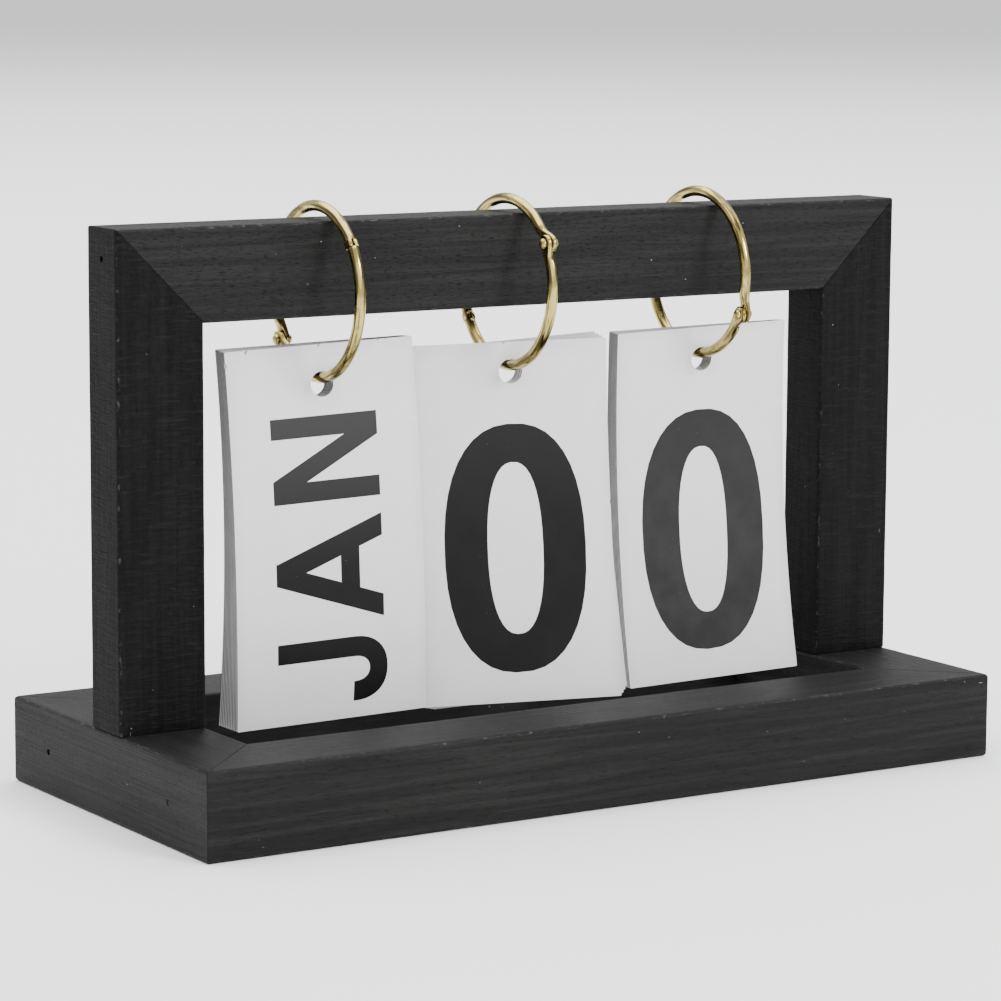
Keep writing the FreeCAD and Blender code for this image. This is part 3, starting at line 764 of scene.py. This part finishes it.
def subdivided(polygon):
    """The polygon, anticlockwise, with points along its long edges so that it can
    follow a bent card."""
    pairs = list(zip(polygon, polygon[1:] + polygon[:1]))
    if sum(x0 * y1 - x1 * y0 for (x0, y0), (x1, y1) in pairs) < 0:
        pairs = [(end, start) for start, end in reversed(pairs)]
    points = []
    for start, end in pairs:
        parts = max(1, math.ceil(math.dist(start, end) / UP_STEP))
        points += [tuple(Vector(start).lerp(Vector(end), part / parts)) for part in range(parts)]
    return points


def card_triangles(name, above, shapes):
    """A card's points and its triangles, each with whether it is inked. Every outline
    is one source of the triangulation: the rim, the hole, then the glyph's shapes."""
    rim, hole = 0, 1
    outlines = [card_outline(name, above), circle(HOLE_RADIUS, HOLE_SIDES)]
    points, faces = [], []
    for outline in outlines + [subdivided(shape) for shape in shapes]:
        faces.append(list(range(len(points), len(points) + len(outline))))
        points += outline
    for across in spaced(-20.0, 21.0, ACROSS_STEP):
        for up in spaced(-70.0, above - 2.0, UP_STEP):
            if math.hypot(across, up) > HOLE_RADIUS + 1.0:
                points.append((across, up))
    made = geometry.delaunay_2d_cdt([Vector(point) for point in points], [], faces, 0, 1e-4)
    return made[0], [(triangle, max(source) > hole) for triangle, source in zip(made[2], made[5])
                     if rim in source and hole not in source]


def card_piece(stack, number, shapes, materials):
    """One printed card: a thin closed sheet whose ink follows the glyph outlines."""
    name = f"{stack}_card_{number + 1:02d}"
    above = STACKS[stack]["above"]
    flat_points, kept = card_triangles(name, above, shapes)
    place = card_placer(stack, number)
    bm = bmesh.new()
    flat = bm.verts.layers.float_vector.new("flat")
    rim_band = bm.verts.layers.float.new("rim")
    used = sorted({corner for triangle, _ in kept for corner in triangle})
    layers = []
    half = CARD_WIDE / 2
    for depth in (0.0, CARD_THICK):
        layer = {}
        for index in used:
            x, y = flat_points[index]
            vertex = bm.verts.new(place(x, y, depth))
            vertex[flat] = (x + SHEET_SHIFT * number, y, depth)
            # vertices on the rim and round the hole, for the darker band on the face
            to_rim = min(half - abs(x), above - y, y + CARD_BELOW, math.hypot(x, y) - HOLE_RADIUS)
            vertex[rim_band] = 1.0 if to_rim < 0.05 else 0.0
            layer[index] = vertex
        layers.append(layer)
    front, back = layers
    open_sides = {}
    for triangle, inked in kept:
        face = bm.faces.new([front[corner] for corner in triangle])
        face.material_index = INK if inked else PAPER
        bm.faces.new([back[corner] for corner in reversed(triangle)])
        for first, second in zip(triangle, triangle[1:] + triangle[:1]):
            if (second, first) in open_sides:
                del open_sides[(second, first)]
            else:
                open_sides[(first, second)] = True
    for first, second in open_sides:
        side = bm.faces.new((front[second], front[first], back[first], back[second]))
        side.material_index = CUT
    piece = new_object("printed_" + name, bm, materials, THIN_SHARP)
    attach(piece, name)
    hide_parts(name)


def build_cards():
    """All three stacks, each card printed with its own month or digit."""
    coated, cut_edge = card_material("coated_card", (0.74, 0.74, 0.75)), edge_material()
    # each stack's ink grey near the top of its cards, which holds a painted sheen, and near the
    # bottom; the one black ink is also painted paler or darker from stack to stack, as painted light
    greys = {"month": (0.040, 0.0045), "tens": (0.015, 0.0045), "units": (0.018, 0.020)}
    for stack, lie in STACKS.items():
        sheets = (coated, ink_material(f"{stack}_ink", *greys[stack]), cut_edge)
        for number in range(lie["cards"]):
            shapes = month_shapes(MONTHS[number]) if stack == "month" else digit_shapes(number)
            card_piece(stack, number, shapes, sheets)


# ------------------------------------------------------------------ rings
RING_RADIUS = 18.3
WIRE = 1.2  # radius of the wire
WIRE_SIDES = 24
ORBIT = 19.2  # from the ring's centre to the rivet
EYE = 1.85  # radius of the flattened eye round the rivet
EYE_ANGLE = 11.0  # degrees from the rivet at which the eye's outline ends
EYE_START = 2.0  # and those between which the flat plate turns into round wire
NECK_ANGLE = 15.0
LUG = 1.25  # from the ring's plane to the outer face of an eye
LAP_GAP = 0.06
CLASP_ANGLE = 5.0
CLASP_STEP = 0.25  # degrees over which the clasp's shoulder falls
TIP = 1.5  # degrees over which the clasp's end narrows
BLUNTED = 0.10  # how much narrower it gets
SQUARED = 0.45  # how far the flattened wire's section is drawn out towards a box
SQUARED_LAP = 0.8  # share of that at the clasp
RIVET_SIDES = 20
# Degrees from the rivet at which the eye has its sections, and the rest of its curve.
EYE_STOPS = (-5.45, -5.2, -4.6, -3.8, -2.6, -1.3, 0.0)
NECK_STOPS = tuple(1.5 * step for step in range(1, 10))
# The rivet's head, as distances from the eye's face and radii.
HEAD = ((0.95, 0.02), (0.92, 0.36), (0.82, 0.68), (0.64, 0.94),
        (0.38, 1.10), (0.14, 1.14), (0.01, 1.08), (0.00, 0.60))
# The hinge angle of each ring, round from straight down towards the front, and the
# way the gate runs from it.
RINGS = {"month": (-53.0, -1), "tens": (120.0, 1), "units": (65.0, 1)}


def smooth(value):
    """A smooth step from 0 to 1."""
    value = min(1.0, max(0.0, value))
    return value * value * (3 - 2 * value)


def ring_section(stop, side, end):
    """The wire's section at an angle from the rivet, in degrees: how far it lies from
    the ring's centre, its radius that way, its half thickness, its shift off the
    ring's plane and how round it is, with 1 for a circle."""
    flat = 1 - smooth((stop - EYE_START) / (NECK_ANGLE - EYE_START))
    orbit = RING_RADIUS + (ORBIT - RING_RADIUS) * smooth(1 - stop / EYE_ANGLE)
    if stop < 0:
        radial = math.sqrt(EYE ** 2 - (math.radians(stop) * ORBIT) ** 2)
    else:
        radial = WIRE + (EYE - WIRE) * smooth(1 - stop / EYE_ANGLE)
    half_thick = WIRE + ((LUG - LAP_GAP) / 2 - WIRE) * flat
    shift = side * (LUG + LAP_GAP) / 2 * flat
    lapped = smooth((stop - (end - CLASP_ANGLE - CLASP_STEP)) / CLASP_STEP)
    if lapped:
        half_thick = WIRE + ((WIRE - LAP_GAP) / 2 - WIRE) * lapped
        shift = -side * (WIRE + LAP_GAP) / 2 * lapped
        radial = WIRE * (1.0 - BLUNTED * smooth((stop - end + TIP) / TIP))
    roundness = 1.0 - SQUARED * max(flat, lapped * SQUARED_LAP)
    return orbit, radial, half_thick, shift, roundness


def ring_half(name, stack, way, side, material):
    """Half a ring, swept from its flattened eye to its lapped clasp end. way is the way
    it runs from the hinge, and side is the side of the ring's plane that its eye is
    on. The vertices store their place along the wire and round it, in millimetres."""
    centre = Vector((STACKS[stack]["along"], 0, RING_CENTRE))
    end = 180 + CLASP_ANGLE / 2
    shoulder = end - CLASP_ANGLE
    stops = [*EYE_STOPS, *NECK_STOPS, *spaced(NECK_ANGLE, shoulder - 1.0, 2.5),
             shoulder - CLASP_STEP, shoulder, end - CLASP_ANGLE / 2, end - 0.5, end - 0.2]
    rings, places = [], []
    for stop in stops:
        angle = math.radians(RINGS[stack][0] + way * stop)
        outward = Vector((0, -math.sin(angle), -math.cos(angle)))
        orbit, radial, half_thick, shift, roundness = ring_section(stop, side, end)
        along = math.radians(stop) * RING_RADIUS + STACKS[stack]["along"]
        ring = []
        for step in range(WIRE_SIDES):
            turn = math.tau * step / WIRE_SIDES
            out, aside = squared(turn, roundness)
            point = centre + outward * (orbit + radial * out) + X * (shift + half_thick * aside)
            ring.append(point * MM)
            places.append((along, WIRE * math.cos(turn), WIRE * math.sin(turn)))
        rings.append(ring)
    piece = loft(name, rings, [material], THIN_SHARP)
    wire = piece.data.attributes.new("wire", "FLOAT_VECTOR", "POINT")
    for index, place in enumerate(places):
        wire.data[index].vector = place
    return piece


def rivet_piece(name, stack, material):
    """The hinge rivet: a shank with two domed heads."""
    hinge = math.radians(RINGS[stack][0])
    centre = Vector((STACKS[stack]["along"], -ORBIT * math.sin(hinge),
                     RING_CENTRE - ORBIT * math.cos(hinge)))
    half = [(LUG + out, radius) for out, radius in HEAD]
    profile = half + [(-x, radius) for x, radius in reversed(half)]
    rings = [[(centre + Vector((x, y, z))) * MM for y, z in circle(radius, RIVET_SIDES)]
             for x, radius in profile]
    return loft(name, rings, [material], THIN_SHARP)


def build_rings():
    """Carrier, gate and rivet of each ring."""
    brass = brass_material("brass_plated_wire", (0.54, 0.435, 0.15), 0.12)
    dull = brass_material("brass_rivet", (0.58, 0.47, 0.19), 0.18)
    for stack, (_, gate_way) in RINGS.items():
        carrier = ring_half(f"brass_{stack}_carrier", stack, -gate_way, -1, brass)
        gate = ring_half(f"brass_{stack}_gate", stack, gate_way, 1, brass)
        rivet = rivet_piece(f"brass_{stack}_rivet", stack, dull)
        for piece, node, body in ((carrier, "carrier", "ring"), (gate, "gate", "gate"),
                                  (rivet, "rivet", "ring")):
            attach(piece, f"{stack}_{body}")
            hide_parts(f"{stack}_ring_{node}")


# ------------------------------------------------------------------ brads and screws
def finish_fasteners():
    """A steel material for the CAD pieces that stay as they are. Each has one slot."""
    zinc = steel_material()
    for node in ("base_corner_brads", "frame_corner_brads", "post_screws"):
        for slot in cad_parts[node].material_slots:
            slot.material = zinc


# ------------------------------------------------------------------ studio
def area_light(name, place, target, width, height, power):
    """A soft white panel that faces a point."""
    light = bpy.data.lights.new(name, "AREA")
    light.shape = "RECTANGLE"
    light.size, light.size_y = width, height
    light.energy = power
    lamp = bpy.data.objects.new(name, light)
    lamp.location = place
    lamp.rotation_euler = (Vector(target) - Vector(place)).to_track_quat("-Z", "Y").to_euler()
    COLLECTION.objects.link(lamp)


def build_floor():
    bm = bmesh.new()
    bmesh.ops.create_grid(bm, x_segments=2, y_segments=2, size=6.0)
    floor = new_object("studio_floor", bm, [])
    paint = Paint("pale_floor")
    floor.data.materials.append(paint.finish(grey(0.93), 0.75, Specular_IOR_Level=0.2))


def build_lights():
    """A white surround, a small key from the front right, a broad fill from the front
    left and a wide panel overhead for the floor."""
    world = bpy.data.worlds.new("studio")
    bpy.context.scene.world = world
    world.use_nodes = True
    background = world.node_tree.nodes["Background"]
    background.inputs["Color"].default_value = (1.0, 1.0, 1.0, 1.0)
    background.inputs["Strength"].default_value = 0.95
    middle = (0, 0, 0.06)
    area_light("key", (0.55, -1.35, 0.95), middle, 0.5, 0.5, 24)
    area_light("fill", (-0.6, -1.7, 0.8), middle, 1.4, 1.0, 8)
    area_light("top", (0.3, 1.1, 2.3), (0.3, 1.1, 0.0), 4.0, 3.6, 170)


def build_camera():
    """A long lens from the front left, a little above the calendar."""
    place = (-0.44873, -0.70538, 0.18545)
    azimuth, elevation, roll = -32.301, 8.506, 0.326
    turn = Matrix.Rotation(math.radians(azimuth), 4, "Z")
    tip = Matrix.Rotation(math.radians(90 - elevation), 4, "X")
    cant = Matrix.Rotation(math.radians(roll), 4, "Z")
    camera = bpy.data.cameras.new("camera")
    camera.sensor_width = 36.0
    camera.lens = 137.442
    camera.clip_start = 0.05
    holder = bpy.data.objects.new("camera", camera)
    holder.matrix_world = Matrix.Translation(place) @ turn @ tip @ cant
    COLLECTION.objects.link(holder)
    bpy.context.scene.camera = holder


build_stand()
build_cards()
build_rings()
finish_fasteners()
build_floor()
build_lights()
build_camera()
